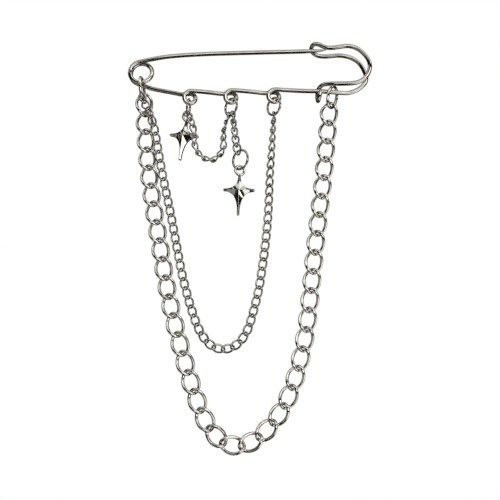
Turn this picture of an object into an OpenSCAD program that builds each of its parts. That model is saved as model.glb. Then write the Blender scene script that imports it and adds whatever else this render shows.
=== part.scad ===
// Lapel chain: a kilt pin bent from one wire, with a spring coil, three eyes and a doubled
// catch head, that carries two long curb chains, two short ones, jump rings and two star charms.
// X runs to the right, Z up, and the front of the piece faces -Y. All sizes are in millimetres.
// The origin is inside the wire of the pin's pointed arm, where it goes through the cloth.

/* [Pin wire] */
// Diameter of the pin's wire
pin_wire = 1.4; // [1.3:0.05:1.4]
// Radius of the spring coil, to the middle of the wire
coil_radius = 3.6; // [3.55:0.01:3.65]
// Distance from the front turn of the coil to the back turn
coil_step = 1.6; // [1.55:0.05:1.7]
// Radius of each eye in the base wire, to the middle of the wire
eye_radius = 1.75; // [1.7:0.01:1.8]
// Length of the arm's sharpened end
point_length = 7; // [5:0.5:9]

/* [Large chain] */
// Outer length of a link
large_length = 8.3; // [8.2:0.05:8.4]
// Outer width of a link
large_width = 5.9; // [5.8:0.05:6]
// Diameter of a link's wire
large_wire = 1.0; // [0.9:0.02:1]
// Angle between a link's middle and each of its ends
large_twist = 42; // [38:1:44]
// Number of links between the two end links
large_count = 39; // [39:1:39]

/* [Fine chains] */
// Outer length of a link
fine_length = 4.5; // [4.48:0.01:4.52]
// Outer width of a link
fine_width = 2.95; // [2.93:0.01:2.97]
// Diameter of a link's wire, but not in the short chain
fine_wire = 0.62; // [0.57:0.01:0.62]
// Diameter of a link's wire in the short chain, which turns too sharply for a thicker one
short_wire = 0.55; // [0.5:0.01:0.55]
// Angle between a link's middle and each of its ends
fine_twist = 42; // [38:1:44]
// Number of links in the middle chain
middle_count = 57; // [57:1:57]
// Number of links in the short chain that swags between the first two eyes
short_count = 13; // [13:1:13]
// Number of links in the straight chain above the right star
drop_count = 5; // [5:1:5]

/* [Star charms] */
// Width across a star's side points
star_width = 10.2; // [9.5:0.1:10.4]
// Height of a star's top point above its middle
star_top = 5.2; // [5:0.1:5.4]
// Depth of a star's bottom point below its middle
star_bottom = 8.4; // [8:0.1:8.8]
// Half the width of a point at its blunt end
star_blunt = 0.4; // [0.35:0.01:0.45]
// Thickness of a star at its rim
star_rim = 0.8; // [0.6:0.05:0.9]
// Height of the ridged middle above the rim
star_relief = 1.1; // [0.9:0.05:1.2]
// Height of a point's ridge above the rim at its blunt end
star_end_relief = 0.35; // [0.3:0.05:0.4]
// Diameter of the wire of the loop on a star
loop_wire = 0.8; // [0.7:0.05:0.8]

/* [Hidden] */

steel = "silver";
bright = "gainsboro";

// Points round the pin's wire, and round and along the wire of a link
pin_sides = 8;
link_sides = 5;
large_around = 12;
fine_around = 10;
// Power that rounds a link out from a plain oval, which has 1
link_fullness = 0.92;
// Steps of the curves between two rows of a table
route_steps = 8;
arm_steps = 4;
base_steps = 2;

// Middle of the spring coil
coil_x = -28.6;
coil_z = -6.6;
// Angle from one point of the coil to the next, and over which a turn moves to the front or back
coil_angle_step = 18;
coil_lead = 60;
// Angles where the arm and the base wire leave the coil, and the open gap at its right side
arm_leaves = 104;
base_leaves = 248;
coil_gap = 3;
// Middles of the eyes, and the depth between the start and the end of an eye
eye_x = [-12.4, 1.0, 15.0];
eye_z = -15.55;
eye_step = 1.65;
// Angle between two points of an eye, and the height by which its end rises from an angle on
eye_angle_step = 24;
eye_lift = 0.35;
eye_lift_from = 250;
// Radius of the arm's very tip, as a share of the wire's
tip_share = 0.12;

// The arm to the right of the coil: x, y, z
ARM = [
    [-26.4, -0.8, -2.45],
    [-20.9, -0.8, -1.5],
    [-14.9, -0.65, -0.95],
    [-7.0, -0.3, -0.5],
    [0.0, -0.05, -0.3],
    [11.0, 0.0, -0.2],
    [22.0, -0.1, -0.2],
    [29.0, -0.25, -0.15],
    [32.3, -0.3, 0.1]];

// The base wire from the coil to the first eye: x, y, z
BASE_LEFT = [
    [-27.1, 0.8, -11.0],
    [-25.1, 0.8, -11.75],
    [-21.9, 0.8, -12.5],
    [-18.6, 0.8, -13.2],
    [-15.4, 0.8, -13.9]];

// The base wire between two eyes: x from the eye or from halfway, y, z
BETWEEN = [
    [2.2, -0.68, -13.5],
    [0, 0, -13.75],
    [-2.8, 0.74, -14.0]];

// The base wire from the last eye round the back of the catch head: x, y, z
HEAD_BACK = [
    [17.6, -0.64, -13.5],
    [21.5, -0.2, -13.65],
    [26.0, 0.1, -13.8],
    [30.0, 0.2, -13.9],
    [35.0, 0.9, -14.1],
    [39.0, 1.6, -14.1],
    [42.0, 1.8, -13.1],
    [44.2, 1.8, -11.4],
    [45.2, 1.8, -9.4],
    [44.6, 1.8, -6.6],
    [42.9, 1.8, -3.7],
    [40.0, 1.8, -1.75],
    [36.3, 1.8, -1.0],
    [32.6, 1.8, -1.25],
    [29.6, 1.8, -0.95]];

// The fold over the arm and the front of the catch head: x, y, z
HEAD_FRONT = [
    [27.7, 1.5, 0.3],
    [27.5, 0.6, 1.5],
    [28.3, -0.7, 1.95],
    [29.8, -1.9, 1.3],
    [31.8, -2.4, 0.1],
    [34.6, -2.5, -0.15],
    [38.6, -2.5, 0.35],
    [41.4, -2.5, -0.25],
    [43.7, -2.5, -1.9],
    [45.6, -2.4, -4.5],
    [46.0, -2.3, -7.2],
    [44.9, -2.2, -9.9],
    [42.4, -2.1, -11.8],
    [39.0, -2.1, -12.3],
    [34.8, -1.9, -12.2],
    [31.6, -1.3, -12.1]];

// The wrapped end of the wire, round the back of the base wire: x, y, z
WRAP = [
    [30.3, 0.1, -12.25],
    [29.5, 1.4, -12.9],
    [29.2, 2.0, -14.4],
    [29.2, 1.7, -16.0],
    [29.3, 0.5, -17.1],
    [29.5, -0.9, -16.9],
    [29.8, -1.5, -15.8],
    [30.0, -1.6, -14.9]];

// Route of the large chain, from its first joint to its last: x, y, z, turn about the route
LARGE_ROUTE = [
    [-27.5, 0.05, -14.65, -34],
    [-27.1, 0, -24.0, 0],
    [-26.0, 0, -36.0, 0],
    [-24.0, 0, -50.0, 0],
    [-21.2, 0, -65.0, 0],
    [-18.4, 0, -80.0, 0],
    [-14.6, 0, -95.0, 0],
    [-10.3, 0, -109.0, 0],
    [-6.3, 0, -118.9, 0],
    [-2.0, 0, -124.6, 0],
    [2.8, 0, -126.6, 0],
    [7.9, 0, -125.1, 0],
    [12.8, 0, -121.0, 0],
    [17.7, 0, -114.3, 0],
    [21.5, 0, -104.7, 0],
    [24.3, 0, -93.0, 0],
    [26.0, 0, -80.4, 0],
    [27.4, 0, -68.0, 0],
    [29.0, 0, -55.0, 0],
    [30.6, 0, -43.0, 0],
    [31.8, 0, -31.0, 0],
    [33.0, 0, -18.7, 0]];

// Route of the middle chain: x, y, z, turn about the route
MIDDLE_ROUTE = [
    [-28.2, -1, -14.4, -32],
    [-27.5, -1.35, -16.6, -20],
    [-25.9, -2.2, -19.7, 0],
    [-24.9, -2.6, -22.2, 0],
    [-23.9, -2.6, -24.8, 0],
    [-23.3, -2.5, -27.4, 0],
    [-22.8, -2.3, -30, 0],
    [-22.3, -2, -33.1, 0],
    [-21.7, -1.6, -36.4, 0],
    [-21, -1.1, -40.2, 0],
    [-20.2, -0.5, -44.4, 0],
    [-18, 0, -54.5, 0],
    [-15.9, 0, -65, 0],
    [-13.8, 0, -75, 0],
    [-10.9, 0, -85, 0],
    [-8.3, 0, -91.6, 0],
    [-4.8, 0, -96, 0],
    [-0.6, 0, -97.15, 0],
    [3.4, 0, -95.6, 0],
    [6.45, 0, -91.4, 0],
    [8.25, 0, -85.6, 0],
    [10, 0, -78.5, 0],
    [11.6, 0, -68, 0],
    [12.9, 0, -56, -16],
    [13.6, 0, -42, -34],
    [14.3, 0, -32, -50],
    [15, 0, -21.25, -80]];

// Route of the short chain: x, y, z, turn about the route
SHORT_ROUTE = [
    [-13.3, -0.85, -20.65, -42],
    [-12.5, -1.4, -22.6, -36],
    [-11.35, -2.19, -24.85, -47],
    [-10.8, -2.4, -27.6, -57],
    [-10.57, -2.25, -29.76, -54],
    [-10.43, -1.32, -32.67, -64],
    [-9.17, -0.92, -34.66, -63],
    [-7.71, -0.47, -36.06, -66],
    [-5.5, 0, -36.5, -46],
    [-3.48, 0.06, -36.38, -57],
    [-2.47, -0.17, -34.93, -56],
    [-1.37, 0.1, -32.69, -38],
    [-1.4, 0.1, -30, -52],
    [-1.17, 0.3, -25.64, -73],
    [0.4, 0.7, -21.02, -93]];

// Route of the drop chain above the right star: x, y, z, turn about the route
DROP_ROUTE = [
    [1.75, -0.65, -21.2, -87],
    [1.95, -0.5, -24.2, -70],
    [2.3, -0.1, -27.5, -52],
    [2.7, 0.3, -30.8, -34],
    [3.3, 0.6, -34.15, -10]];

// Jump rings: middle x, y, z, outer radius, wire, turn from facing front, lean to the right
RING_LEFT_EYE = [-12.8, 0, -18.68, 3, 0.7, 88, 6];
RING_MIDDLE_EYE = [1.1, 0, -18.82, 3.19, 0.75, -45, 0];
RING_RIGHT_EYE = [15.0, 0, -18.83, 3.2, 0.75, -43, 0];
RING_RIGHT_STAR = [4.15, 0, -36.6, 3.5, 0.75, -38, 0];
// Angle left open where a jump ring's ends meet
ring_split = 4;

// Stars: middle x, y, z, roll, yaw, yaw of the loop
STAR_LEFT = [-14.2, 0.75, -28.1, -9, -15, 37];
STAR_RIGHT = [3.75, 0, -46.7, -2, 0, 25];
// Radius of the loop on a star, to the middle of its wire, and how far it is sunk in the point
loop_radius = 1.5;
loop_sink = 0.2;
// Where the hollow sides of a star are drawn in to, and the steps along each of them
star_hollow = [0.2, 0.45];
star_curve_steps = 5;
// How far the corners of a point lie back from its end, as a share of its half width
star_corner = 0.6;

function link_name(k) = str("large_link_", k < 10 ? "0" : "", k);

// A smooth curve through the rows of a table
function blend_row(p0, p1, p2, p3, t) =
    0.5 * (2 * p1 + (p2 - p0) * t + (2 * p0 - 5 * p1 + 4 * p2 - p3) * t * t
        + (3 * p1 - p0 - 3 * p2 + p3) * t * t * t);
function spline(rows, steps) = concat(
    [for (i = [0 : len(rows) - 2], s = [0 : steps - 1])
        blend_row(
            rows[max(i - 1, 0)], rows[i], rows[i + 1], rows[min(i + 2, len(rows) - 1)], s / steps)],
    [rows[len(rows) - 1]]);

function place(row) = [row[0], row[1], row[2]];
function unit(v) = v / norm(v);

// Running length along a path, and the row at a given length
function running(path) =
    [for (i = 0, total = 0; i < len(path);
        total = total + (i + 1 < len(path) ? norm(place(path[i + 1]) - place(path[i])) : 0), i = i + 1)
        total];
function step_at(lengths, s, i = 0) =
    i >= len(lengths) - 2 || lengths[i + 1] >= s ? i : step_at(lengths, s, i + 1);
function row_at(path, lengths, s) =
    let (i = step_at(lengths, s))
    path[i] + (path[i + 1] - path[i]) * (s - lengths[i]) / (lengths[i + 1] - lengths[i]);

// The joints of a chain: equal steps along its route
function joints(route, count) =
    let (path = spline(route, route_steps))
    let (lengths = running(path))
    [for (k = [0 : count]) row_at(path, lengths, lengths[len(lengths) - 1] * k / count)];

// A ring of points round a path, with frames that turn as little as possible
function tangent(path, i) = unit(path[min(i + 1, len(path) - 1)] - path[max(i - 1, 0)]);
function square_to(v, t) = unit(v - t * (v * t));
function frames(path) =
    [for (i = 0, u = square_to([0.1, 1, 0.2], tangent(path, 0)); i < len(path);
        i = i + 1, u = i < len(path) ? square_to(u, tangent(path, i)) : u) u];
function wire_ring(path, side, radius, sides, i) =
    let (t = tangent(path, i), u = side[i], v = cross(t, u))
    [for (s = [0 : sides - 1])
        path[i] + radius * (cos(360 * s / sides) * u + sin(360 * s / sides) * v)];

// A wire swept along a path, with a radius for each point of the path
module wire(path, radii, sides) {
    side = frames(path);
    last = len(path) - 1;
    points = [for (i = [0 : last]) each wire_ring(path, side, radii[i], sides, i)];
    walls = [for (i = [0 : last - 1], s = [0 : sides - 1])
        let (a = i * sides + s, b = i * sides + (s + 1) % sides)
        each [[a, a + sides, b + sides], [a, b + sides, b]]];
    caps = [[for (s = [0 : sides - 1]) s], [for (s = [sides - 1 : -1 : 0]) last * sides + s]];
    polyhedron(points = points, faces = concat(walls, caps));
}

// A flat link's middle line, a slightly full oval, and the direction out of it
function full(v) = sign(v) * pow(abs(v), link_fullness);
function link_line(length, width, wire_d, angle) =
    [(width - wire_d) / 2 * full(cos(angle)), 0, (length - wire_d) / 2 * full(sin(angle))];
function link_out(length, width, wire_d, angle) =
    unit([(length - wire_d) * cos(angle), 0, (width - wire_d) * sin(angle)]);
function twisted(p, rate) =
    let (a = -rate * p[2])
    [p[0] * cos(a) - p[1] * sin(a), p[0] * sin(a) + p[1] * cos(a), p[2]];
// The three directions of a link between two joints, turned about its length
function link_axes(from, to, turn) =
    let (along = unit(to - from))
    let (across = unit(cross([0, 1, 0], along)))
    let (through = cross(along, across))
    [across * cos(turn) + through * sin(turn), through * cos(turn) - across * sin(turn), along];
function placed(p, middle, axes) = middle + p[0] * axes[0] + p[1] * axes[1] + p[2] * axes[2];
function link_points(length, width, wire_d, twist, around, sides, middle, axes) =
    let (rate = twist / ((length - wire_d) / 2))
    [for (i = [0 : around - 1], s = [0 : sides - 1])
        let (angle = 360 * (i + 0.5) / around, turn = 360 * (s + 0.5) / sides)
        let (out = link_out(length, width, wire_d, angle) * cos(turn) + [0, 1, 0] * sin(turn))
        placed(
            twisted(link_line(length, width, wire_d, angle) + out * wire_d / 2, rate), middle, axes)];
function link_faces(around, sides) =
    [for (i = [0 : around - 1], s = [0 : sides - 1])
        let (j = (i + 1) % around, q = (s + 1) % sides)
        each [[i * sides + s, j * sides + q, j * sides + s], [i * sides + s, i * sides + q, j * sides + q]]];

// One curb link between two joints of a route
module curb_link(from, to, size, around) {
    turn = (from[3] + to[3]) / 2;
    axes = link_axes(place(from), place(to), turn);
    polyhedron(
        points = link_points(
            size[0], size[1], size[2], size[3], around, link_sides,
            (place(from) + place(to)) / 2, axes),
        faces = link_faces(around, link_sides));
}

LARGE = [large_length, large_width, large_wire, large_twist];
PLAIN = [large_length, large_width, large_wire, 0];
FINE = [fine_length, fine_width, fine_wire, fine_twist];
SHORT = [fine_length, fine_width, short_wire, fine_twist];
LARGE_JOINTS = joints(LARGE_ROUTE, large_count);

// A chain whose links all belong to one node
module fine_chain(route, count, size) {
    points = joints(route, count);
    color(bright)
        for (k = [0 : count - 1])
            curb_link(points[k], points[k + 1], size, fine_around);
}
module middle_chain() fine_chain(MIDDLE_ROUTE, middle_count, FINE);
module short_chain() fine_chain(SHORT_ROUTE, short_count, SHORT);
module drop_chain() fine_chain(DROP_ROUTE, drop_count, FINE);

// The end links hang on the pin: the first edge-on through the coil, where it also carries the
// middle chain, and the last over the base wire
COIL_LINK = [[-28.5, 0, -8.8, -84], [-27.9, 0, -14.9, -84]];
BASE_LINK = [[34.8, 1.0, -12.9, -56], [33.1, 0, -18.75, -56]];

module large_link(k) {
    color(bright)
        if (k == 1)
            curb_link(COIL_LINK[0], COIL_LINK[1], PLAIN, large_around);
        else if (k == large_count + 2)
            curb_link(BASE_LINK[0], BASE_LINK[1], PLAIN, large_around);
        else
            curb_link(LARGE_JOINTS[k - 2], LARGE_JOINTS[k - 1], LARGE, large_around);
}

// Points on the coil: angle measured anticlockwise from the right, and depth
function coil_point(angle, depth) =
    [coil_x + coil_radius * cos(angle), depth, coil_z + coil_radius * sin(angle)];
function turn_depth(angle) =
    angle < coil_lead ? coil_step / 2 * sin(90 * angle / coil_lead) : coil_step / 2;

module pin_arm() {
    turn = [for (a = [coil_gap : coil_angle_step : 360 - arm_leaves])
        coil_point(-a, -turn_depth(a))];
    path = concat(turn, [coil_point(arm_leaves, -coil_step / 2)], spline(ARM, arm_steps));
    lengths = running(path);
    whole = lengths[len(lengths) - 1];
    radii = [for (s = lengths)
        pin_wire / 2 * min(1, tip_share + (1 - tip_share) * sqrt(max(0, (whole - s) / point_length)))];
    color(steel) wire(path, radii, pin_sides);
}

// One eye: a loop below the base wire that starts behind it and ends in front
function eye(k) =
    [for (a = [0 : eye_angle_step : 360])
        let (rise = max(0, (a - eye_lift_from) / (360 - eye_lift_from)))
        let (r = eye_radius + eye_lift * rise * rise)
        [eye_x[k] + r * sin(a), eye_step / 2 * cos(a / 2), eye_z + r * cos(a)]];
// The base wire after an eye: it starts in front and sinks behind the next eye
function between(k) =
    [[eye_x[k], 0, 0] + BETWEEN[0],
     [(eye_x[k] + eye_x[k + 1]) / 2, 0, 0] + BETWEEN[1],
     [eye_x[k + 1], 0, 0] + BETWEEN[2]];

module pin_base() {
    turn = [for (a = [coil_gap : coil_angle_step : base_leaves]) coil_point(a, turn_depth(a))];
    path = concat(
        turn,
        spline(concat([coil_point(base_leaves, coil_step / 2)], BASE_LEFT), base_steps),
        eye(0),
        between(0),
        eye(1),
        between(1),
        eye(2),
        spline(concat(HEAD_BACK, HEAD_FRONT, WRAP), base_steps));
    color(steel) wire(path, [for (p = path) pin_wire / 2], pin_sides);
}

// A jump ring, with its ends a hair apart
module jump_ring(row) {
    color(bright)
        translate([row[0], row[1], row[2]])
            rotate([0, row[6], 0])
                rotate([0, 0, row[5]])
                    rotate([90, 45 - ring_split / 2, 0])
                        rotate_extrude(angle = 360 - ring_split, $fn = 48)
                            translate([row[3] - row[4] / 2, 0])
                                circle(d = row[4], $fn = 24);
}

// A quarter of a star's outline, from one point's end to the next: blunt ends, hollow between
function hollow(a, m, b, t) = (1 - t) * (1 - t) * a + 2 * t * (1 - t) * m + t * t * b;
function quarter(across, up) =
    let (x = sign(across), z = sign(up))
    let (side = [across - x * star_blunt * star_corner, z * star_blunt])
    let (end = [x * star_blunt, up - z * star_blunt * star_corner])
    let (middle = [x * star_hollow[0], z * star_hollow[1]])
    [for (s = [0 : star_curve_steps]) hollow(side, middle, end, s / star_curve_steps)];
function backwards(v) = [for (i = [len(v) - 1 : -1 : 0]) v[i]];
function star_outline() =
    let (x = star_width / 2)
    concat(
        [[x, 0]], quarter(x, star_top),
        [[0, star_top]], backwards(quarter(-x, star_top)),
        [[-x, 0]], quarter(-x, -star_bottom),
        [[0, -star_bottom]], backwards(quarter(x, -star_bottom)));
// The ends of the ridges of the four points
function ridge_ends() =
    let (x = star_width / 2 - star_blunt)
    [[x, 0], [0, star_top - star_blunt], [-x, 0], [0, star_blunt - star_bottom]];

module star(row) {
    rim = star_outline();
    n = len(rim);
    part = n / 4;
    ends = ridge_ends();
    face_y = -star_rim / 2;
    points = concat(
        [for (p = rim) [p[0], face_y, p[1]]],
        [for (p = rim) [p[0], star_rim / 2, p[1]]],
        [for (p = ends) [p[0], face_y - star_end_relief, p[1]]],
        [[0, face_y - star_relief, 0], [0, star_rim / 2, 0]]);
    peak = 2 * n + 4;
    // Each slope of a point runs from the outline up to the ridge, in two parts
    front = [for (k = [0 : 3], i = [0 : part - 1])
        let (a = k * part + i, b = (a + 1) % n, near = 2 * n + k, far = 2 * n + (k + 1) % 4)
        let (low = i < 2, high = i >= part - 2)
        [a, low ? near : high ? far : peak, b]];
    folds = [for (k = [0 : 3])
        let (near = 2 * n + k, far = 2 * n + (k + 1) % 4, first = k * part + 2)
        let (last = (k + 1) * part - 2)
        each [[first, near, peak], [peak, far, last]]];
    back = [for (i = [0 : n - 1]) [n + (i + 1) % n, 2 * n + 5, n + i]];
    walls = [for (i = [0 : n - 1])
        let (j = (i + 1) % n) each [[i, j, n + j], [i, n + j, n + i]]];
    color(bright)
        translate([row[0], row[1], row[2]])
            rotate([0, -row[3], 0])
                rotate([0, 0, row[4]])
                    union() {
                        polyhedron(points = points, faces = concat(front, folds, back, walls));
                        translate([0, 0, star_top + loop_radius - loop_sink])
                            rotate([90, 0, row[5]])
                                rotate_extrude($fn = 40)
                                    translate([loop_radius, 0]) circle(d = loop_wire, $fn = 20);
                    }
}

pin_base();
pin_arm();
middle_chain();
short_chain();
drop_chain();
jump_ring(RING_LEFT_EYE);  // ring_left_eye
jump_ring(RING_MIDDLE_EYE);  // ring_middle_eye
jump_ring(RING_RIGHT_EYE);  // ring_right_eye
jump_ring(RING_RIGHT_STAR);  // ring_right_star
star(STAR_LEFT);  // star_left
star(STAR_RIGHT);  // star_right
for (k = [1 : large_count + 2]) {
    large_link(k);
}
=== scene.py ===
"""Lapel chain: a kilt pin of bent wire with curb chains, jump rings and two star charms."""
import math

import bmesh
import bpy
import numpy as np
from mathutils import Matrix, Vector


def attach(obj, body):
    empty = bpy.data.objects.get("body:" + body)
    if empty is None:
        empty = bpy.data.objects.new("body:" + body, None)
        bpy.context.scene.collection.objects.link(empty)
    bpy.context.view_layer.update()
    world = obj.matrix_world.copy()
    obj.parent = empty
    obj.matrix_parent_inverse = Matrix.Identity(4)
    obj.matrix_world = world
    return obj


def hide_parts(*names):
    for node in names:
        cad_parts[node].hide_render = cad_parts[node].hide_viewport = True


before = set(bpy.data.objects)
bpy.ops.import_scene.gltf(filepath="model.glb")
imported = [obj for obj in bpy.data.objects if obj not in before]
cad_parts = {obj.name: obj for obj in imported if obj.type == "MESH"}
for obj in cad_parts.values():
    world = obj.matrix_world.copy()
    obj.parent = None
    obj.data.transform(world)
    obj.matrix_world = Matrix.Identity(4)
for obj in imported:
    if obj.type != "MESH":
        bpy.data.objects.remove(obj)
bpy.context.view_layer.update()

# The part's own measures are in millimetres, and Blender's unit is the metre
MM = 0.001

# Measures of the part
PIN_WIRE = 1.4

# Spring coil: radius, distance between its turns, middle, and step between the wire's points
COIL_RADIUS, COIL_STEP = 3.6, 1.6
COIL_X, COIL_Z = -28.6, -6.6
COIL_ANGLE_STEP = 18
# Angle over which a turn moves to its own depth, and where each wire leaves the coil
COIL_LEAD = 60
ARM_LEAVES, BASE_LEAVES = 104, 248
# The arm's wire starts inside the other turn, a little thinner: angles, share of the radius
COIL_CORE_ANGLES = (14, 7, 1.5)
COIL_CORE_SHARE = 0.9

# Eyes in the base wire: middles, radius, depth, and the rise at the end of each loop
EYE_X, EYE_Z = (-12.4, 1.0, 15.0), -15.55
EYE_RADIUS, EYE_STEP = 1.75, 1.65
EYE_LIFT, EYE_LIFT_FROM = 0.35, 250
EYE_ANGLE_STEP = 24

# Sharpened end of the arm: length, and share of the radius that is left at the tip
POINT_LENGTH, TIP_SHARE = 7, 0.12
# Cut end of the base wire: distance from the end, share of the radius
CUT_END = [(0.14, 1), (0.04, 0.95), (0, 0.8)]

# Points added between two rows of a table, and between two points of a bent wire
ARM_STEPS, BASE_STEPS, ROUTE_STEPS = 4, 2, 8
WIRE_STEPS = 4

# Middle line of the pin's wire: x, y, z
ARM = [
    (-26.4, -0.8, -2.45), (-20.9, -0.8, -1.5), (-14.9, -0.65, -0.95), (-7, -0.3, -0.5),
    (0, -0.05, -0.3), (11, 0, -0.2), (22, -0.1, -0.2), (29, -0.25, -0.15),
    (32.3, -0.3, 0.1)]
BASE_LEFT = [
    (-27.1, 0.8, -11), (-25.1, 0.8, -11.75), (-21.9, 0.8, -12.5), (-18.6, 0.8, -13.2),
    (-15.4, 0.8, -13.9)]
# From one eye to the next, with x counted from the first eye, the middle and the next eye
BETWEEN = [(2.2, -0.68, -13.5), (0, 0, -13.75), (-2.8, 0.74, -14)]
HEAD_BACK = [
    (17.6, -0.64, -13.5), (21.5, -0.2, -13.65), (26, 0.1, -13.8), (30, 0.2, -13.9),
    (35, 0.9, -14.1), (39, 1.6, -14.1), (42, 1.8, -13.1), (44.2, 1.8, -11.4),
    (45.2, 1.8, -9.4), (44.6, 1.8, -6.6), (42.9, 1.8, -3.7), (40, 1.8, -1.75),
    (36.3, 1.8, -1), (32.6, 1.8, -1.25), (29.6, 1.8, -0.95)]
HEAD_FRONT = [
    (27.7, 1.5, 0.3), (27.5, 0.6, 1.5), (28.3, -0.7, 1.95), (29.8, -1.9, 1.3),
    (31.8, -2.4, 0.1), (34.6, -2.5, -0.15), (38.6, -2.5, 0.35), (41.4, -2.5, -0.25),
    (43.7, -2.5, -1.9), (45.6, -2.4, -4.5), (46, -2.3, -7.2), (44.9, -2.2, -9.9),
    (42.4, -2.1, -11.8), (39, -2.1, -12.3), (34.8, -1.9, -12.2), (31.6, -1.3, -12.1)]
WRAP = [
    (30.3, 0.1, -12.25), (29.5, 1.4, -12.9), (29.2, 2, -14.4), (29.2, 1.7, -16),
    (29.3, 0.5, -17.1), (29.5, -0.9, -16.9), (29.8, -1.5, -15.8), (30, -1.6, -14.9)]

# Routes of the chains: x, y, z, turn about the route
LARGE_ROUTE = [
    (-27.5, 0.05, -14.65, -34), (-27.1, 0, -24, 0), (-26, 0, -36, 0), (-24, 0, -50, 0),
    (-21.2, 0, -65, 0), (-18.4, 0, -80, 0), (-14.6, 0, -95, 0), (-10.3, 0, -109, 0),
    (-6.3, 0, -118.9, 0), (-2, 0, -124.6, 0), (2.8, 0, -126.6, 0), (7.9, 0, -125.1, 0),
    (12.8, 0, -121, 0), (17.7, 0, -114.3, 0), (21.5, 0, -104.7, 0), (24.3, 0, -93, 0),
    (26, 0, -80.4, 0), (27.4, 0, -68, 0), (29, 0, -55, 0), (30.6, 0, -43, 0),
    (31.8, 0, -31, 0), (33, 0, -18.7, 0)]
MIDDLE_ROUTE = [
    (-28.2, -1, -14.4, -32), (-27.5, -1.35, -16.6, -20), (-25.9, -2.2, -19.7, 0),
    (-24.9, -2.6, -22.2, 0), (-23.9, -2.6, -24.8, 0), (-23.3, -2.5, -27.4, 0),
    (-22.8, -2.3, -30, 0), (-22.3, -2, -33.1, 0), (-21.7, -1.6, -36.4, 0),
    (-21, -1.1, -40.2, 0), (-20.2, -0.5, -44.4, 0), (-18, 0, -54.5, 0), (-15.9, 0, -65, 0),
    (-13.8, 0, -75, 0), (-10.9, 0, -85, 0), (-8.3, 0, -91.6, 0), (-4.8, 0, -96, 0),
    (-0.6, 0, -97.15, 0), (3.4, 0, -95.6, 0), (6.45, 0, -91.4, 0), (8.25, 0, -85.6, 0),
    (10, 0, -78.5, 0), (11.6, 0, -68, 0), (12.9, 0, -56, -16), (13.6, 0, -42, -34),
    (14.3, 0, -32, -50), (15, 0, -21.25, -80)]
SHORT_ROUTE = [
    (-13.3, -0.85, -20.65, -42), (-12.5, -1.4, -22.6, -36), (-11.35, -2.19, -24.85, -47),
    (-10.8, -2.4, -27.6, -57), (-10.57, -2.25, -29.76, -54), (-10.43, -1.32, -32.67, -64),
    (-9.17, -0.92, -34.66, -63), (-7.71, -0.47, -36.06, -66), (-5.5, 0, -36.5, -46),
    (-3.48, 0.06, -36.38, -57), (-2.47, -0.17, -34.93, -56), (-1.37, 0.1, -32.69, -38),
    (-1.4, 0.1, -30, -52), (-1.17, 0.3, -25.64, -73), (0.4, 0.7, -21.02, -93)]
DROP_ROUTE = [
    (1.75, -0.65, -21.2, -87), (1.95, -0.5, -24.2, -70), (2.3, -0.1, -27.5, -52),
    (2.7, 0.3, -30.8, -34), (3.3, 0.6, -34.15, -10)]
COIL_LINK = [(-28.5, 0, -8.8, -84), (-27.9, 0, -14.9, -84)]
BASE_LINK = [(34.8, 1, -12.9, -56), (33.1, 0, -18.75, -56)]

# Links: outer length, outer width, wire, angle between the middle and each end
LARGE_LINK = (8.3, 5.9, 1.0, 42)
PLAIN_LINK = (8.3, 5.9, 1.0, 0)
FINE_LINK = (4.5, 2.95, 0.62, 42)
SHORT_LINK = (4.5, 2.95, 0.55, 42)
LINK_FULLNESS = 0.92
LARGE_COUNT, MIDDLE_COUNT, SHORT_COUNT, DROP_COUNT = 39, 57, 13, 5

# Jump rings: middle x, y, z, outer radius, wire, turn from facing front, lean to the right
RINGS = {
    "ring_left_eye": (-12.8, 0, -18.68, 3, 0.7, 88, 6),
    "ring_middle_eye": (1.1, 0, -18.82, 3.19, 0.75, -45, 0),
    "ring_right_eye": (15.0, 0, -18.83, 3.2, 0.75, -43, 0),
    "ring_right_star": (4.15, 0, -36.6, 3.5, 0.75, -38, 0)}
# A ring's cut: its width and place in degrees, and the share of the radius at its ends
RING_SPLIT, RING_OPENS_AT = 4, -43
RING_END_SHARE = 0.82
RING_POINTS = 73

# Stars: middle x, y, z, roll, yaw, yaw of the loop
STARS = {
    "star_left": (-14.2, 0.75, -28.1, -9, -15, 37),
    "star_right": (3.75, 0, -46.7, -2, 0, 25)}
STAR_WIDTH, STAR_TOP, STAR_BOTTOM = 10.2, 5.2, 8.4
# Half a point's blunt end, its corner's share, and the place that pulls the outline inwards
STAR_BLUNT, STAR_CORNER, STAR_HOLLOW = 0.4, 0.6, (0.2, 0.45)
STAR_RIM, STAR_RELIEF, STAR_END_RELIEF = 0.8, 1.1, 0.35
# Width of the worn edges, and the angle from which an edge counts as one
STAR_EDGE, STAR_EDGE_ANGLE = 0.07, 14
LOOP_WIRE, LOOP_RADIUS, LOOP_SINK = 0.8, 1.5, 0.2

# Smoothness of the shown pieces
WIRE_SIDES = 28
LINK_SIDES = 14
LARGE_AROUND = 84
FINE_AROUND = 56
RING_SIDES = 20
LOOP_POINTS = 64
STAR_CURVE_STEPS = 12


# Curves and routes
def turned(angle, axis):
    """A turn by so many degrees about one axis."""
    return Matrix.Rotation(math.radians(angle), 3, axis)


def even_curve(rows, steps):
    """The part's own smooth curve through the rows of a table."""
    rows = np.array(rows, float)
    last = len(rows) - 1
    out = []
    for i in range(last):
        p0, p1, p2, p3 = (rows[min(max(i + k, 0), last)] for k in (-1, 0, 1, 2))
        for s in range(steps):
            t = s / steps
            out.append(0.5 * (
                2 * p1 + (p2 - p0) * t + (2 * p0 - 5 * p1 + 4 * p2 - p3) * t * t
                + (3 * p1 - p0 - 3 * p2 + p3) * t ** 3))
    return np.array(out + [rows[-1]])


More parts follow.
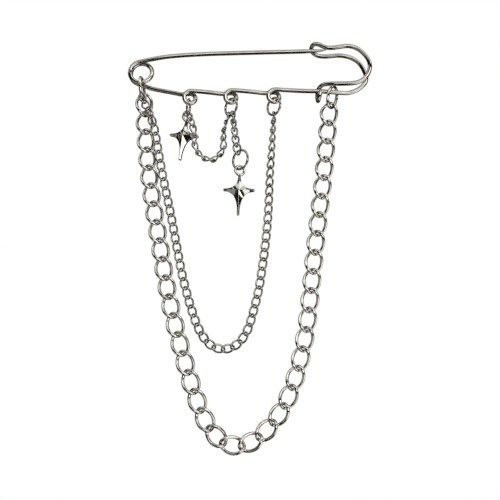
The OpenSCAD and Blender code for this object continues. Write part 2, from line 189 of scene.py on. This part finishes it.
def joints(route, count):
    """The joints between the links: equal steps along a route."""
    path = even_curve(route, ROUTE_STEPS)
    length = np.r_[0, np.cumsum(np.linalg.norm(np.diff(path[:, :3], axis=0), axis=1))]
    at = length[-1] * np.arange(count + 1) / count
    return np.stack([np.interp(at, length, path[:, k]) for k in range(4)], axis=1)


def smooth_wire(points, steps):
    """More points along a bent wire, without overshoot where the given ones crowd together."""
    p = np.array(points, float)
    p = np.vstack([2 * p[0] - p[1], p, 2 * p[-1] - p[-2]])
    out = []
    for i in range(1, len(p) - 2):
        q = p[i - 1:i + 3]
        t = np.r_[0, np.cumsum(np.sqrt(np.linalg.norm(np.diff(q[:, :3], axis=0), axis=1)))]
        for s in range(steps):
            u = t[1] + (t[2] - t[1]) * s / steps
            a = [((t[k + 1] - u) * q[k] + (u - t[k]) * q[k + 1]) / (t[k + 1] - t[k])
                 for k in range(3)]
            b = [((t[k + 2] - u) * a[k] + (u - t[k]) * a[k + 1]) / (t[k + 2] - t[k])
                 for k in range(2)]
            out.append(((t[2] - u) * b[0] + (u - t[1]) * b[1]) / (t[2] - t[1]))
    return np.array(out + [p[-2]])


def coil_point(angle, depth):
    """A point of the coil, at an angle from its right side."""
    a = math.radians(angle)
    return (COIL_X + COIL_RADIUS * math.cos(a), depth, COIL_Z + COIL_RADIUS * math.sin(a))


def turn_depth(angle):
    """How far a turn has moved from the coil's middle plane."""
    if angle < COIL_LEAD:
        return COIL_STEP / 2 * math.sin(math.radians(90 * angle / COIL_LEAD))
    return COIL_STEP / 2


def arm_path():
    """The coil's front turn and the arm, with the wire's radius at each point."""
    core = [coil_point(a, turn_depth(a)) for a in COIL_CORE_ANGLES]
    turn = [coil_point(-a, -turn_depth(a)) for a in range(0, 360 - ARM_LEAVES, COIL_ANGLE_STEP)]
    leaves = [coil_point(ARM_LEAVES, -COIL_STEP / 2)]
    path = smooth_wire(core + turn + leaves + list(even_curve(ARM, ARM_STEPS)), WIRE_STEPS)
    length = np.r_[0, np.cumsum(np.linalg.norm(np.diff(path, axis=0), axis=1))]
    rest = np.clip((length[-1] - length) / POINT_LENGTH, 0, 1)
    radius = PIN_WIRE / 2 * (TIP_SHARE + (1 - TIP_SHARE) * np.sqrt(rest))
    in_core = length < COIL_RADIUS * math.radians(COIL_CORE_ANGLES[0])
    radius[in_core] *= COIL_CORE_SHARE
    return path, radius


def eye(x):
    """A loop below the base wire that starts behind it and ends in front."""
    out = []
    for a in range(0, 361, EYE_ANGLE_STEP):
        rise = max(0, (a - EYE_LIFT_FROM) / (360 - EYE_LIFT_FROM))
        r = EYE_RADIUS + EYE_LIFT * rise * rise
        s = math.radians(a)
        out.append((x + r * math.sin(s), EYE_STEP / 2 * math.cos(s / 2), EYE_Z + r * math.cos(s)))
    return out


def between(x0, x1):
    """The base wire between two eyes: it starts in front and sinks behind the next eye."""
    return [(x + p[0], p[1], p[2]) for x, p in zip((x0, (x0 + x1) / 2, x1), BETWEEN)]


def base_path():
    """The rest of the pin's wire, from the coil to the wrapped end, with its radius."""
    turn = [coil_point(a, turn_depth(a)) for a in range(0, BASE_LEAVES, COIL_ANGLE_STEP)]
    leaves = [coil_point(BASE_LEAVES, COIL_STEP / 2)]
    path = turn + list(even_curve(leaves + BASE_LEFT, BASE_STEPS))
    for k, x in enumerate(EYE_X):
        path += eye(x)
        if k + 1 < len(EYE_X):
            path += between(x, EYE_X[k + 1])
    path += list(even_curve(HEAD_BACK + HEAD_FRONT + WRAP, BASE_STEPS))
    path = smooth_wire(path, WIRE_STEPS)
    radius = np.full(len(path), PIN_WIRE / 2)
    end = path[-1]
    ahead = (end - path[-2]) / np.linalg.norm(end - path[-2])
    path = np.vstack([path[:-1]] + [end - back * ahead for back, _ in CUT_END])
    radius = np.r_[radius[:-1], np.array([share for _, share in CUT_END]) * PIN_WIRE / 2]
    return path, radius


def ring_path(row):
    """A jump ring's wire: a circle with its ends a hair apart."""
    x, y, z, outer, wire, turn, lean = row
    r = outer - wire / 2
    place = turned(lean, "Y") @ turned(turn, "Z")
    angles = np.linspace(RING_OPENS_AT, RING_OPENS_AT + 360 - RING_SPLIT, RING_POINTS)
    points = [
        place @ Vector((r * math.cos(math.radians(a)), 0, r * math.sin(math.radians(a))))
        + Vector((x, y, z)) for a in angles]
    radius = np.full(len(points), wire / 2)
    radius[[0, -1]] *= RING_END_SHARE
    return np.array([tuple(p) for p in points]), radius


# Geometry-node trees
class Tree:
    """A node tree under construction: named inputs, nodes and links between them."""

    def __init__(self, name, kind, inputs, outputs):
        self.group = bpy.data.node_groups.new(name, kind)
        for label, socket, value in inputs:
            item = self.group.interface.new_socket(label, in_out="INPUT", socket_type=socket)
            if value is not None:
                item.default_value = value
        for label, socket in outputs:
            self.group.interface.new_socket(label, in_out="OUTPUT", socket_type=socket)
        self.given = self.group.nodes.new("NodeGroupInput")
        self.result = self.group.nodes.new("NodeGroupOutput")

    def add(self, kind, inputs=None, **settings):
        node = self.group.nodes.new(kind)
        for key, value in settings.items():
            setattr(node, key, value)
        for key, value in (inputs or {}).items():
            sockets = [s for s in node.inputs if s.enabled and s.name == key]
            self.feed(sockets[0] if sockets else node.inputs[key], value)
        return node

    def feed(self, socket, value):
        if isinstance(value, bpy.types.Node):
            value = next(s for s in value.outputs if s.enabled)
        if isinstance(value, bpy.types.NodeSocket):
            self.group.links.new(value, socket)
        else:
            socket.default_value = value

    def named(self, label):
        return self.given.outputs[label]

    def maths(self, operation, a, b=0.0):
        return self.add("ShaderNodeMath", {0: a, 1: b}, operation=operation)

    def attribute(self, label, kind):
        return self.add("GeometryNodeInputNamedAttribute", {"Name": label}, data_type=kind)

    def finish(self, **results):
        for label, value in results.items():
            self.feed(self.result.inputs[label], value)
        return self.group


def bent_wire_tree():
    """A round wire along a path of points, each with its own radius."""
    t = Tree("bent_wire", "GeometryNodeTree", [
        ("Geometry", "NodeSocketGeometry", None),
        ("Sides", "NodeSocketInt", WIRE_SIDES),
        ("Metal", "NodeSocketMaterial", None)], [("Geometry", "NodeSocketGeometry")])
    curve = t.add("GeometryNodeMeshToCurve", {"Mesh": t.named("Geometry")})
    round_wire = t.add("GeometryNodeCurvePrimitiveCircle", {
        "Resolution": t.named("Sides"), "Radius": 1.0})
    swept = t.add("GeometryNodeCurveToMesh", {
        "Curve": curve, "Profile Curve": round_wire.outputs["Curve"],
        "Scale": t.attribute("wire_radius", "FLOAT"), "Fill Caps": True})
    soft = t.add("GeometryNodeSetShadeSmooth", {"Geometry": swept})
    whole = t.add("GeometryNodeRealizeInstances", {"Geometry": soft})
    done = t.add("GeometryNodeSetMaterial", {"Geometry": whole, "Material": t.named("Metal")})
    return t.finish(Geometry=done)


def chain_links_tree():
    """A twisted oval link on every point, laid out by the point's two directions."""
    t = Tree("chain_links", "GeometryNodeTree", [
        ("Geometry", "NodeSocketGeometry", None),
        ("Link Length", "NodeSocketFloat", LARGE_LINK[0] * MM),
        ("Link Width", "NodeSocketFloat", LARGE_LINK[1] * MM),
        ("Wire Diameter", "NodeSocketFloat", LARGE_LINK[2] * MM),
        ("End Twist", "NodeSocketFloat", math.radians(LARGE_LINK[3])),
        ("Fullness", "NodeSocketFloat", LINK_FULLNESS),
        ("Points Around", "NodeSocketInt", LARGE_AROUND),
        ("Wire Sides", "NodeSocketInt", LINK_SIDES),
        ("Metal", "NodeSocketMaterial", None)], [("Geometry", "NodeSocketGeometry")])
    length, width, wire = (t.named(k) for k in ("Link Length", "Link Width", "Wire Diameter"))

    def full(value, size):
        power = t.maths("POWER", t.maths("ABSOLUTE", value), t.named("Fullness"))
        half = t.maths("MULTIPLY", t.maths("SUBTRACT", size, wire), 0.5)
        return t.maths("MULTIPLY", t.maths("MULTIPLY", t.maths("SIGN", value), power), half)

    # A slightly full oval, standing up along Z
    circle = t.add("GeometryNodeCurvePrimitiveCircle", {
        "Resolution": t.named("Points Around"), "Radius": 1.0})
    at = t.add("ShaderNodeSeparateXYZ", {"Vector": t.add("GeometryNodeInputPosition")})
    oval = t.add("GeometryNodeSetPosition", {
        "Geometry": circle.outputs["Curve"],
        "Position": t.add("ShaderNodeCombineXYZ", {
            "X": full(at.outputs["X"], width), "Z": full(at.outputs["Y"], length)})})
    even = t.add("GeometryNodeResampleCurve", {"Curve": oval, "Count": t.named("Points Around")})

    # The twist that lets a curb chain lie flat: it grows with the height above the middle
    here = t.add("GeometryNodeInputPosition")
    height = t.add("ShaderNodeSeparateXYZ", {"Vector": here}).outputs["Z"]
    half = t.maths("MULTIPLY", t.maths("SUBTRACT", length, wire), -0.5)
    angle = t.maths("DIVIDE", t.maths("MULTIPLY", height, t.named("End Twist")), half)
    spun = t.add("ShaderNodeVectorRotate", {"Vector": here, "Angle": angle}, rotation_type="Z_AXIS")
    twisted = t.add("GeometryNodeSetPosition", {"Geometry": even, "Position": spun})
    profile = t.add("GeometryNodeCurvePrimitiveCircle", {
        "Resolution": t.named("Wire Sides"), "Radius": t.maths("MULTIPLY", wire, 0.5)})
    link = t.add("GeometryNodeCurveToMesh", {
        "Curve": twisted, "Profile Curve": profile.outputs["Curve"]})
    soft = t.add("GeometryNodeSetShadeSmooth", {"Geometry": link})

    rows = t.add("GeometryNodeMeshToPoints", {"Mesh": t.named("Geometry")})
    facing = t.add("FunctionNodeAxesToRotation", {
        "Primary Axis": t.attribute("link_along", "FLOAT_VECTOR"),
        "Secondary Axis": t.attribute("link_across", "FLOAT_VECTOR")},
        primary_axis="Z", secondary_axis="X")
    placed = t.add("GeometryNodeInstanceOnPoints", {
        "Points": rows, "Instance": soft, "Rotation": facing})
    whole = t.add("GeometryNodeRealizeInstances", {"Geometry": placed})
    done = t.add("GeometryNodeSetMaterial", {"Geometry": whole, "Material": t.named("Metal")})
    return t.finish(Geometry=done)


def grown(name, points, edges, attributes, tree, values):
    """A plain mesh that a tree grows from named points, as an object of the scene."""
    seed = bpy.data.meshes.new(name + "_seed")
    seed.from_pydata([tuple(p) for p in points], edges, [])
    for label, (kind, rows) in attributes.items():
        layer = seed.attributes.new(label, kind, "POINT")
        field = "vector" if kind == "FLOAT_VECTOR" else "value"
        layer.data.foreach_set(field, np.array(rows, np.float32).ravel())
    holder = bpy.data.objects.new(name + "_seed", seed)
    bpy.context.scene.collection.objects.link(holder)
    growth = holder.modifiers.new("growth", "NODES")
    growth.node_group = tree
    for item in tree.interface.items_tree:
        if item.item_type == "SOCKET" and item.in_out == "INPUT" and item.name in values:
            growth[item.identifier] = values[item.name]
    bpy.context.view_layer.update()
    graph = bpy.context.evaluated_depsgraph_get()
    mesh = bpy.data.meshes.new_from_object(holder.evaluated_get(graph))
    mesh.name = name
    holder.modifiers.remove(growth)
    bpy.data.objects.remove(holder)
    bpy.data.meshes.remove(seed)
    for label in attributes:
        if label in mesh.attributes:
            mesh.attributes.remove(mesh.attributes[label])
    return shown(name, mesh)


def shown(name, mesh):
    """A mesh as an object of the scene."""
    obj = bpy.data.objects.new(name, mesh)
    bpy.context.scene.collection.objects.link(obj)
    return obj


def wire_piece(name, path, radius, metal, sides=WIRE_SIDES):
    """A bent wire along a path, with its radius at each point."""
    return grown(
        name, path * MM, [(i, i + 1) for i in range(len(path) - 1)],
        {"wire_radius": ("FLOAT", radius * MM)}, BENT_WIRE, {"Sides": sides, "Metal": metal})


def links_piece(name, stations, size, metal, around):
    """One link between each station and the next."""
    middles, along, across = [], [], []
    for a, b in zip(stations[:-1], stations[1:]):
        a, b = np.array(a, float), np.array(b, float)
        up = Vector(b[:3] - a[:3]).normalized()
        right = Vector((0, 1, 0)).cross(up).normalized()
        through = up.cross(right)
        turn = math.radians((a[3] + b[3]) / 2)
        middles.append((a[:3] + b[:3]) / 2 * MM)
        along.append(tuple(up))
        across.append(tuple(right * math.cos(turn) + through * math.sin(turn)))
    return grown(
        name, middles, [],
        {"link_along": ("FLOAT_VECTOR", along), "link_across": ("FLOAT_VECTOR", across)},
        CHAIN_LINKS, {
            "Link Length": size[0] * MM, "Link Width": size[1] * MM,
            "Wire Diameter": size[2] * MM, "End Twist": math.radians(size[3]),
            "Points Around": around, "Wire Sides": LINK_SIDES, "Metal": metal})


# Metals
# A metal: bright tone, tarnished tone, roughness, depth of its patches, strength of the bump
METALS = {
    "pin_steel": ((0.65, 0.618, 0.552), (0.51, 0.485, 0.432), 0.05, 0.04, 0.02),
    "chain_silver": ((0.83, 0.802, 0.738), (0.5, 0.481, 0.44), 0.03, 0.03, 0.02),
    # The fine chains' and jump rings' silver is the large chain's metal with painted shade: its
    # whole tone is darker, standing in for the shade that their thin wires show
    "fine_silver_painted_shade": ((0.5, 0.48, 0.436), (0.24, 0.231, 0.21), 0.03, 0.03, 0.02),
    "star_metal": ((0.78, 0.758, 0.707), (0.56, 0.544, 0.507), 0.07, 0.05, 0.03)}

# Fine lines are drawn out along the height, and patches are larger
LINE_SCALE, LINE_STRETCH, LINE_LEVEL = 900.0, 0.22, 0.5
PATCH_SCALE, PATCH_LEVEL = 260.0, 0.42
LEAST_ROUGHNESS = 0.04
BUMP_DEPTH = 0.02
TARNISH_SCALE, TARNISH_FROM, TARNISH_TO = 300.0, 0.45, 0.72


def polishing_group():
    """Fine polishing lines and dull patches: a roughness and a height."""
    t = Tree("polishing_lines", "ShaderNodeTree", [
        ("Roughness", "NodeSocketFloat", 0.15),
        ("Patches", "NodeSocketFloat", 0.08),
        ("Line Scale", "NodeSocketFloat", LINE_SCALE)],
        [("Roughness", "NodeSocketFloat"), ("Height", "NodeSocketFloat")])
    place = t.add("ShaderNodeTexCoord").outputs["Object"]
    stretched = t.add("ShaderNodeMapping", {"Vector": place, "Scale": (1.0, 1.0, LINE_STRETCH)})
    lines = t.add("ShaderNodeTexNoise", {
        "Vector": stretched, "Scale": t.named("Line Scale"), "Detail": 4.0, "Roughness": 0.7})
    patches = t.add("ShaderNodeTexNoise", {"Vector": place, "Scale": PATCH_SCALE, "Detail": 3.0})
    dull = t.maths("MULTIPLY", t.maths("SUBTRACT", patches, PATCH_LEVEL), t.named("Patches"))
    fine = t.maths("MULTIPLY", t.maths("SUBTRACT", lines, LINE_LEVEL), t.named("Patches"))
    rough = t.maths("ADD", t.named("Roughness"), t.maths("ADD", dull, fine))
    return t.finish(Roughness=t.maths("MAXIMUM", rough, LEAST_ROUGHNESS), Height=lines)


def tarnish_group():
    """A slow change between bright metal and a slightly darker, warmer tone."""
    t = Tree("tarnish", "ShaderNodeTree", [
        ("Bright", "NodeSocketColor", (0.8, 0.8, 0.8, 1)),
        ("Tarnished", "NodeSocketColor", (0.6, 0.58, 0.55, 1)),
        ("Scale", "NodeSocketFloat", TARNISH_SCALE)], [("Color", "NodeSocketColor")])
    place = t.add("ShaderNodeTexCoord").outputs["Object"]
    spots = t.add("ShaderNodeTexNoise", {
        "Vector": place, "Scale": t.named("Scale"), "Detail": 5.0, "Roughness": 0.6})
    share = t.add("ShaderNodeMapRange", {
        "Value": spots, "From Min": TARNISH_FROM, "From Max": TARNISH_TO})
    mixed = t.add("ShaderNodeMix", {
        "Factor": share, "A": t.named("Bright"), "B": t.named("Tarnished")}, data_type="RGBA")
    return t.finish(Color=mixed)


def polished_metal(name, bright, tarnished, roughness, patches, bump):
    """A metal with its tone from one shader group and its polish from the other."""
    metal = bpy.data.materials.new(name)
    metal.use_nodes = True
    nodes, links = metal.node_tree.nodes, metal.node_tree.links
    shader = nodes["Principled BSDF"]
    shader.inputs["Metallic"].default_value = 1.0
    colour = nodes.new("ShaderNodeGroup")
    colour.node_tree = TARNISH
    colour.inputs["Bright"].default_value = (*bright, 1)
    colour.inputs["Tarnished"].default_value = (*tarnished, 1)
    links.new(colour.outputs["Color"], shader.inputs["Base Color"])
    lines = nodes.new("ShaderNodeGroup")
    lines.node_tree = POLISHING_LINES
    lines.inputs["Roughness"].default_value = roughness
    lines.inputs["Patches"].default_value = patches
    links.new(lines.outputs["Roughness"], shader.inputs["Roughness"])
    relief = nodes.new("ShaderNodeBump")
    relief.inputs["Strength"].default_value = bump
    relief.inputs["Distance"].default_value = BUMP_DEPTH * MM
    links.new(lines.outputs["Height"], relief.inputs["Height"])
    links.new(relief.outputs["Normal"], shader.inputs["Normal"])
    return metal


BENT_WIRE = bent_wire_tree()
CHAIN_LINKS = chain_links_tree()
POLISHING_LINES = polishing_group()
TARNISH = tarnish_group()

pin_steel, chain_silver, fine_silver_painted_shade, star_metal = (
    polished_metal(name, *row) for name, row in METALS.items())


# Stars
def quarter(across, up):
    """A star's outline from one point's end to the next: blunt ends, hollow between."""
    x, z = np.sign(across), np.sign(up)
    a = np.array((across - x * STAR_BLUNT * STAR_CORNER, z * STAR_BLUNT))
    m = np.array((x * STAR_HOLLOW[0], z * STAR_HOLLOW[1]))
    b = np.array((x * STAR_BLUNT, up - z * STAR_BLUNT * STAR_CORNER))
    return [(1 - t) ** 2 * a + 2 * t * (1 - t) * m + t * t * b
            for t in np.linspace(0, 1, STAR_CURVE_STEPS + 1)]


def star_faces(bm):
    """The star as a closed body: slopes from the outline up to four ridges, walls and back."""
    half = STAR_WIDTH / 2
    sides = [
        quarter(half, STAR_TOP), quarter(-half, STAR_TOP)[::-1],
        quarter(-half, -STAR_BOTTOM), quarter(half, -STAR_BOTTOM)[::-1]]
    ends = [(half, 0), (0, STAR_TOP), (-half, 0), (0, -STAR_BOTTOM)]
    level, steps = -STAR_RIM / 2, STAR_CURVE_STEPS // 2
    peak = bm.verts.new((0, level - STAR_RELIEF, 0))
    ridges, front, back = [], [], []
    for x, z in ends:
        size = math.hypot(x, z)
        start = np.array((x, 0, z)) * (1 - STAR_BLUNT / size)
        start[1] = level - STAR_END_RELIEF
        ridges.append([bm.verts.new(start + (np.array(peak.co) - start) * i / steps)
                       for i in range(steps)] + [peak])
    for end, side in zip(ends, sides):
        for x, z in [end] + side:
            front.append(bm.verts.new((x, level, z)))
            back.append(bm.verts.new((x, STAR_RIM / 2, z)))
    n, part = len(front), len(front) // 4
    for k in range(4):
        near, far = ridges[k], ridges[(k + 1) % 4]
        inner = [near[0]] + near + far[-2::-1] + [far[0]]
        for i in range(part):
            ring = [inner[i], inner[i + 1], front[(k * part + i + 1) % n], front[k * part + i]]
            bm.faces.new([v for q, v in enumerate(ring) if v not in ring[:q]])
    for i in range(n):
        j = (i + 1) % n
        bm.faces.new((front[i], front[j], back[j], back[i]))
    bm.faces.new(list(reversed(back)))


def star_piece(name, row):
    """A four-pointed star with a ridge along each point, and its cast-on loop."""
    x, y, z, roll, yaw, loop_yaw = row
    place = turned(-roll, "Y") @ turned(yaw, "Z")
    bm = bmesh.new()
    star_faces(bm)
    bmesh.ops.recalc_face_normals(bm, faces=bm.faces)
    for edge in bm.edges:
        edge.smooth = edge.calc_face_angle(0) < math.radians(STAR_EDGE_ANGLE)
    for face in bm.faces:
        face.smooth = True
    mesh = bpy.data.meshes.new(name + "_body")
    bm.to_mesh(mesh)
    bm.free()
    body = shown(name + "_body", mesh)
    bevel = body.modifiers.new("worn_edges", "BEVEL")
    bevel.width = STAR_EDGE
    bevel.segments = 2
    bevel.limit_method = "ANGLE"
    bevel.angle_limit = math.radians(STAR_EDGE_ANGLE)
    bevel.harden_normals = True
    graph = bpy.context.evaluated_depsgraph_get()
    finished = bpy.data.meshes.new_from_object(body.evaluated_get(graph))
    bpy.data.objects.remove(body)

    middle = Vector((x, y, z))
    finished.transform(
        Matrix.Translation(middle * MM) @ place.to_4x4() @ Matrix.Scale(MM, 4))
    finished.materials.clear()
    finished.materials.append(star_metal)
    high = Vector((0, 0, STAR_TOP + LOOP_RADIUS - LOOP_SINK))
    ring = turned(loop_yaw, "Z")
    path = []
    for k in list(range(LOOP_POINTS)) + [0]:
        a = math.radians(360 * k / LOOP_POINTS)
        p = ring @ Vector((LOOP_RADIUS * math.cos(a), 0, LOOP_RADIUS * math.sin(a)))
        path.append(tuple(place @ (p + high) + middle))
    loop = wire_piece(
        name + "_loop", np.array(path), np.full(len(path), LOOP_WIRE / 2), star_metal, RING_SIDES)
    bm = bmesh.new()
    bm.from_mesh(finished)
    bm.from_mesh(loop.data)
    bpy.data.objects.remove(loop)
    mesh = bpy.data.meshes.new(name)
    bm.to_mesh(mesh)
    bm.free()
    mesh.materials.append(star_metal)
    return shown(name, mesh)


# The pieces
def settle(piece, body, slot, *nodes):
    """Ties a piece to its body and hides the solids that it stands for; its material slot is not
    used.
    """
    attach(piece, body)
    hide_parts(*nodes)


settle(wire_piece("pointed_arm", *arm_path(), pin_steel), "arm", "pin_wire", "pin_arm")
settle(wire_piece("base_wire", *base_path(), pin_steel), "hanging", "pin_wire", "pin_base")

# The large chain's links are nodes of their own, and its two end links come first and last
large_names = ["large_link_%02d" % k for k in range(1, LARGE_COUNT + 3)]
large_joints = joints(LARGE_ROUTE, LARGE_COUNT)
for name, stations, size, nodes in (
        ("large_chain", large_joints, LARGE_LINK, large_names[1:-1]),
        ("coil_end_link", COIL_LINK, PLAIN_LINK, large_names[:1]),
        ("base_end_link", BASE_LINK, PLAIN_LINK, large_names[-1:])):
    links = links_piece(name, stations, size, chain_silver, LARGE_AROUND)
    settle(links, "hanging", "chain_wire", *nodes)

for node, route, count, size in (
        ("middle_chain", MIDDLE_ROUTE, MIDDLE_COUNT, FINE_LINK),
        ("short_chain", SHORT_ROUTE, SHORT_COUNT, SHORT_LINK),
        ("drop_chain", DROP_ROUTE, DROP_COUNT, FINE_LINK)):
    links = links_piece(node + "_links", joints(route, count), size, fine_silver_painted_shade, FINE_AROUND)
    settle(links, "hanging", "chain_wire", node)

for node, row in RINGS.items():
    ring = wire_piece(node + "_wire", *ring_path(row), fine_silver_painted_shade, RING_SIDES)
    settle(ring, "hanging", "chain_wire", node)

for node, row in STARS.items():
    settle(star_piece(node + "_charm", row), "hanging", "star_metal", node)


# Studio
# The point that the camera looks at, and the camera's turn, rise and distance from it
AIM = Vector((7.25, 0, -66.07)) * MM
CAMERA_YAW, CAMERA_RISE, CAMERA_DISTANCE = 2.7, 10, 0.25
SENSOR, FOCAL_PIXELS, PHOTO_PIXELS = 36, 795, 500
NEAR_CLIP = 0.01
FLOOR_Z, FLOOR_RADIUS = -0.3, 0.9
PAPER_TONE, PAPER_ROUGHNESS = (0.92, 0.92, 0.92), 0.8
ROOM_RADIUS = 2.5
SURROUND_TONE = (0.013, 0.0118, 0.0102)

# Panels: azimuth, elevation, distance, width, height, strength
PANELS = {
    "right_panel": (26, 7, 0.9, 1.15, 0.4, 2.15),
    "high_right_panel": (64, 46, 0.9, 0.9, 0.6, 1.2),
    "low_right_panel": (66, -44, 0.9, 1.2, 0.8, 1.15),
    "front_top_panel": (0, 52, 0.9, 0.7, 0.3, 1.05),
    "top_panel": (0, 80, 0.8, 0.5, 0.4, 0.7),
    "left_top_panel": (-66, 44, 0.9, 0.8, 0.7, 0.8),
    "low_left_panel": (-70, -40, 0.9, 1.1, 0.8, 0.3),
    "back_panel": (180, 15, 0.9, 0.5, 0.9, 0.6)}


def plain_material(name, colour, roughness):
    """One tone and one roughness."""
    paint = bpy.data.materials.new(name)
    paint.use_nodes = True
    shader = paint.node_tree.nodes["Principled BSDF"]
    shader.inputs["Base Color"].default_value = (*colour, 1)
    shader.inputs["Roughness"].default_value = roughness
    return paint


def floor():
    """A pale paper disc far below the piece, which reflections don't see."""
    bm = bmesh.new()
    bmesh.ops.create_circle(bm, cap_ends=True, segments=64, radius=FLOOR_RADIUS)
    mesh = bpy.data.meshes.new("studio_floor")
    bm.to_mesh(mesh)
    bm.free()
    mesh.materials.append(plain_material("floor_paper", PAPER_TONE, PAPER_ROUGHNESS))
    obj = shown("studio_floor", mesh)
    obj.location.z = FLOOR_Z
    obj.visible_glossy = False


def dark_room():
    """A dark surround that only reflections see, as in a photographer's light tent."""
    bm = bmesh.new()
    bmesh.ops.create_uvsphere(bm, u_segments=48, v_segments=24, radius=ROOM_RADIUS)
    mesh = bpy.data.meshes.new("studio_surround")
    bm.to_mesh(mesh)
    bm.free()
    felt = bpy.data.materials.new("surround_felt")
    felt.use_nodes = True
    nodes = felt.node_tree.nodes
    nodes.remove(nodes["Principled BSDF"])
    glow = nodes.new("ShaderNodeEmission")
    glow.inputs["Color"].default_value = (*SURROUND_TONE, 1)
    felt.node_tree.links.new(glow.outputs[0], nodes["Material Output"].inputs["Surface"])
    mesh.materials.append(felt)
    obj = shown("studio_surround", mesh)
    obj.location = AIM
    obj.visible_camera = False
    obj.visible_diffuse = False
    obj.visible_shadow = False
    obj.visible_transmission = False


def panel(name, azimuth, elevation, distance, width, height, strength):
    """A soft light that faces the piece. Azimuth 0 is the front, 90 the right."""
    a, e = math.radians(azimuth), math.radians(elevation)
    away = Vector((math.sin(a) * math.cos(e), -math.cos(a) * math.cos(e), math.sin(e)))
    light = bpy.data.lights.new(name, "AREA")
    light.shape = "RECTANGLE"
    light.size, light.size_y = width, height
    light.energy = strength * width * height * math.pi
    obj = bpy.data.objects.new(name, light)
    obj.location = AIM + distance * away
    obj.rotation_euler = away.to_track_quat("Z", "Y").to_euler()
    obj.visible_camera = False
    bpy.context.scene.collection.objects.link(obj)


def camera():
    """The photograph's own view: from a little below, a little from the right."""
    yaw, rise = math.radians(CAMERA_YAW), math.radians(CAMERA_RISE)
    look = Vector((-math.sin(yaw) * math.cos(rise), math.cos(yaw) * math.cos(rise), math.sin(rise)))
    data = bpy.data.cameras.new("photo_camera")
    data.sensor_width = SENSOR
    data.lens = FOCAL_PIXELS / PHOTO_PIXELS * SENSOR
    data.clip_start = NEAR_CLIP
    obj = bpy.data.objects.new("photo_camera", data)
    obj.location = AIM - CAMERA_DISTANCE * look
    obj.rotation_euler = look.to_track_quat("-Z", "Y").to_euler()
    bpy.context.scene.collection.objects.link(obj)
    bpy.context.scene.camera = obj


floor()
dark_room()
for label, settings in PANELS.items():
    panel(label, *settings)
camera()

world = bpy.data.worlds.new("white_paper")
world.use_nodes = True
world.node_tree.nodes["Background"].inputs["Color"].default_value = (1, 1, 1, 1)
world.node_tree.nodes["Background"].inputs["Strength"].default_value = 1.0
bpy.context.scene.world = world
bpy.context.scene.view_settings.view_transform = "Standard"
